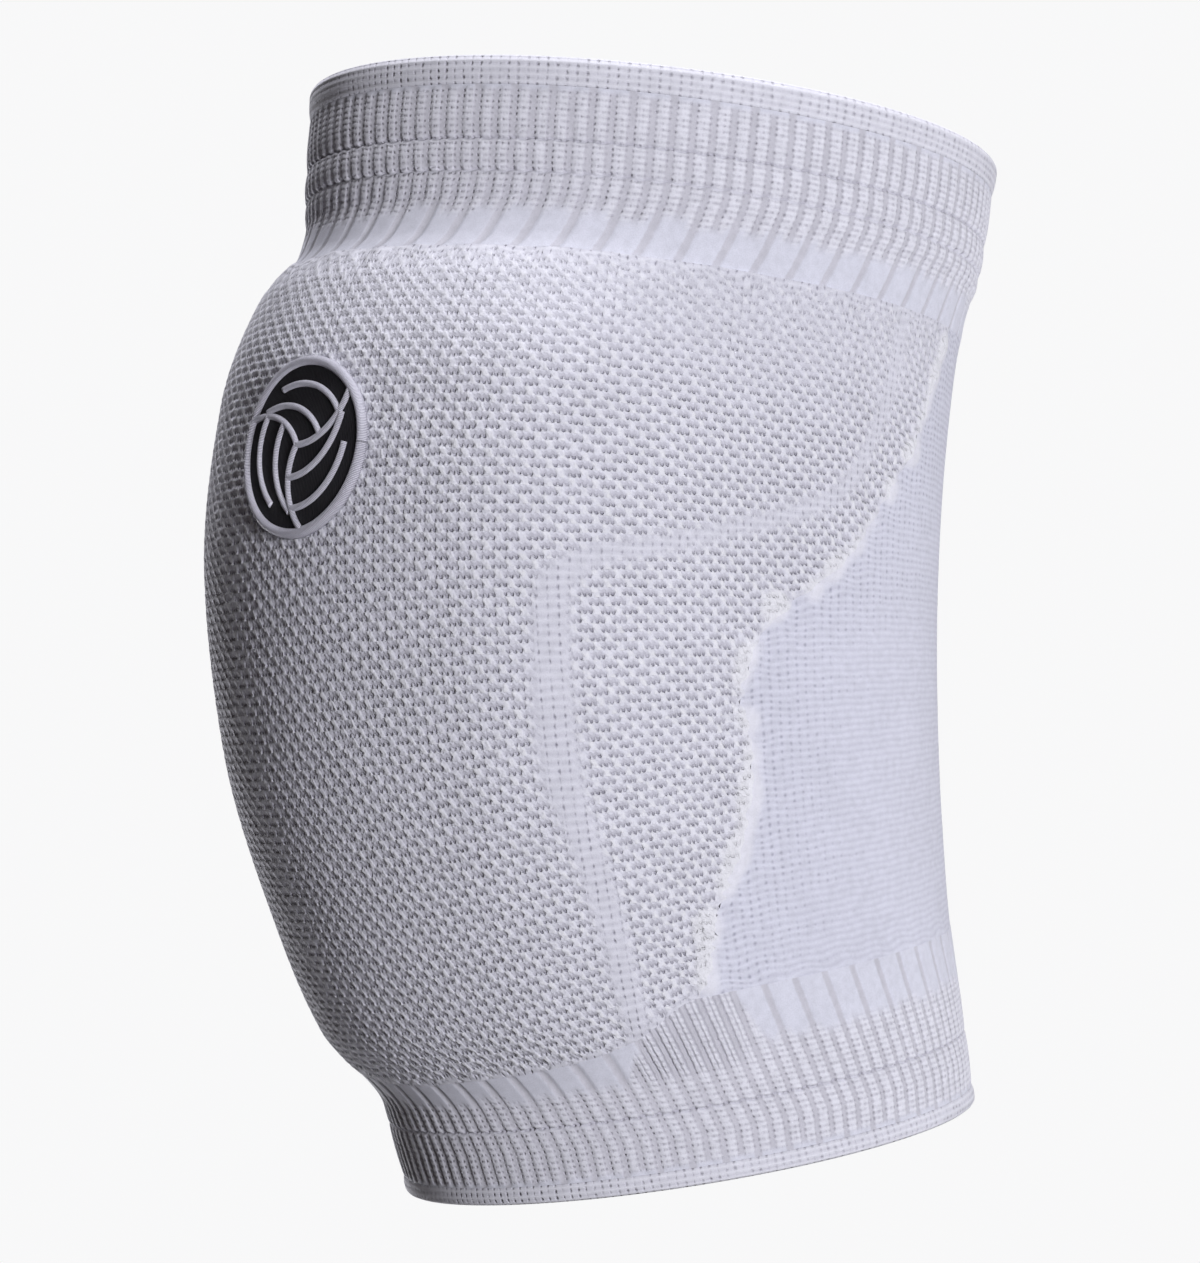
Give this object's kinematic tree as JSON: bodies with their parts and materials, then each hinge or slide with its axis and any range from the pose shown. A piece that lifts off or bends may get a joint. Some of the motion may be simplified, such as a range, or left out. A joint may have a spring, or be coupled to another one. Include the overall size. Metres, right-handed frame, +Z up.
{
  "type": "volleyball knee pad",
  "caption": "Knitted tubular knee sleeve for a slightly bent leg, with ribbed cuffs at both ends and a thick foam pad behind a mesh-knit front panel.",
  "frame": {"origin": "on the leg's axis at the sleeve's mid height, where a knee sits", "axes": "+Z up the thigh, -Y to the front of the knee, +X to the side the badge is turned to"},
  "size_m": [0.1282, 0.1556, 0.2117],
  "materials": {
    "rib_knit": "matte ribbed knit",
    "yoke_knit": "smooth gathered knit",
    "welt_knit": "folded plain knit",
    "mesh_knit": "matte tuck-stitch mesh",
    "plain_knit": "matte plain knit",
    "pad_cover": "knit cover over foam",
    "badge_black": "black embroidery",
    "badge_satin": "white satin stitch"
  },
  "bodies": {
    "root": {"thigh_welt": "welt_knit", "thigh_cuff": "rib_knit", "thigh_yoke": "yoke_knit", "knee_panel": "mesh_knit", "side_band_left": "plain_knit", "side_band_right": "plain_knit", "side_panel_left": "mesh_knit", "side_panel_right": "mesh_knit", "back_panel": "plain_knit", "calf_yoke": "yoke_knit", "calf_cuff": "rib_knit", "calf_welt": "welt_knit", "foam_pad": "pad_cover", "badge_patch": "badge_black", "badge_seams": "badge_satin"}
  },
  "joints": []
}
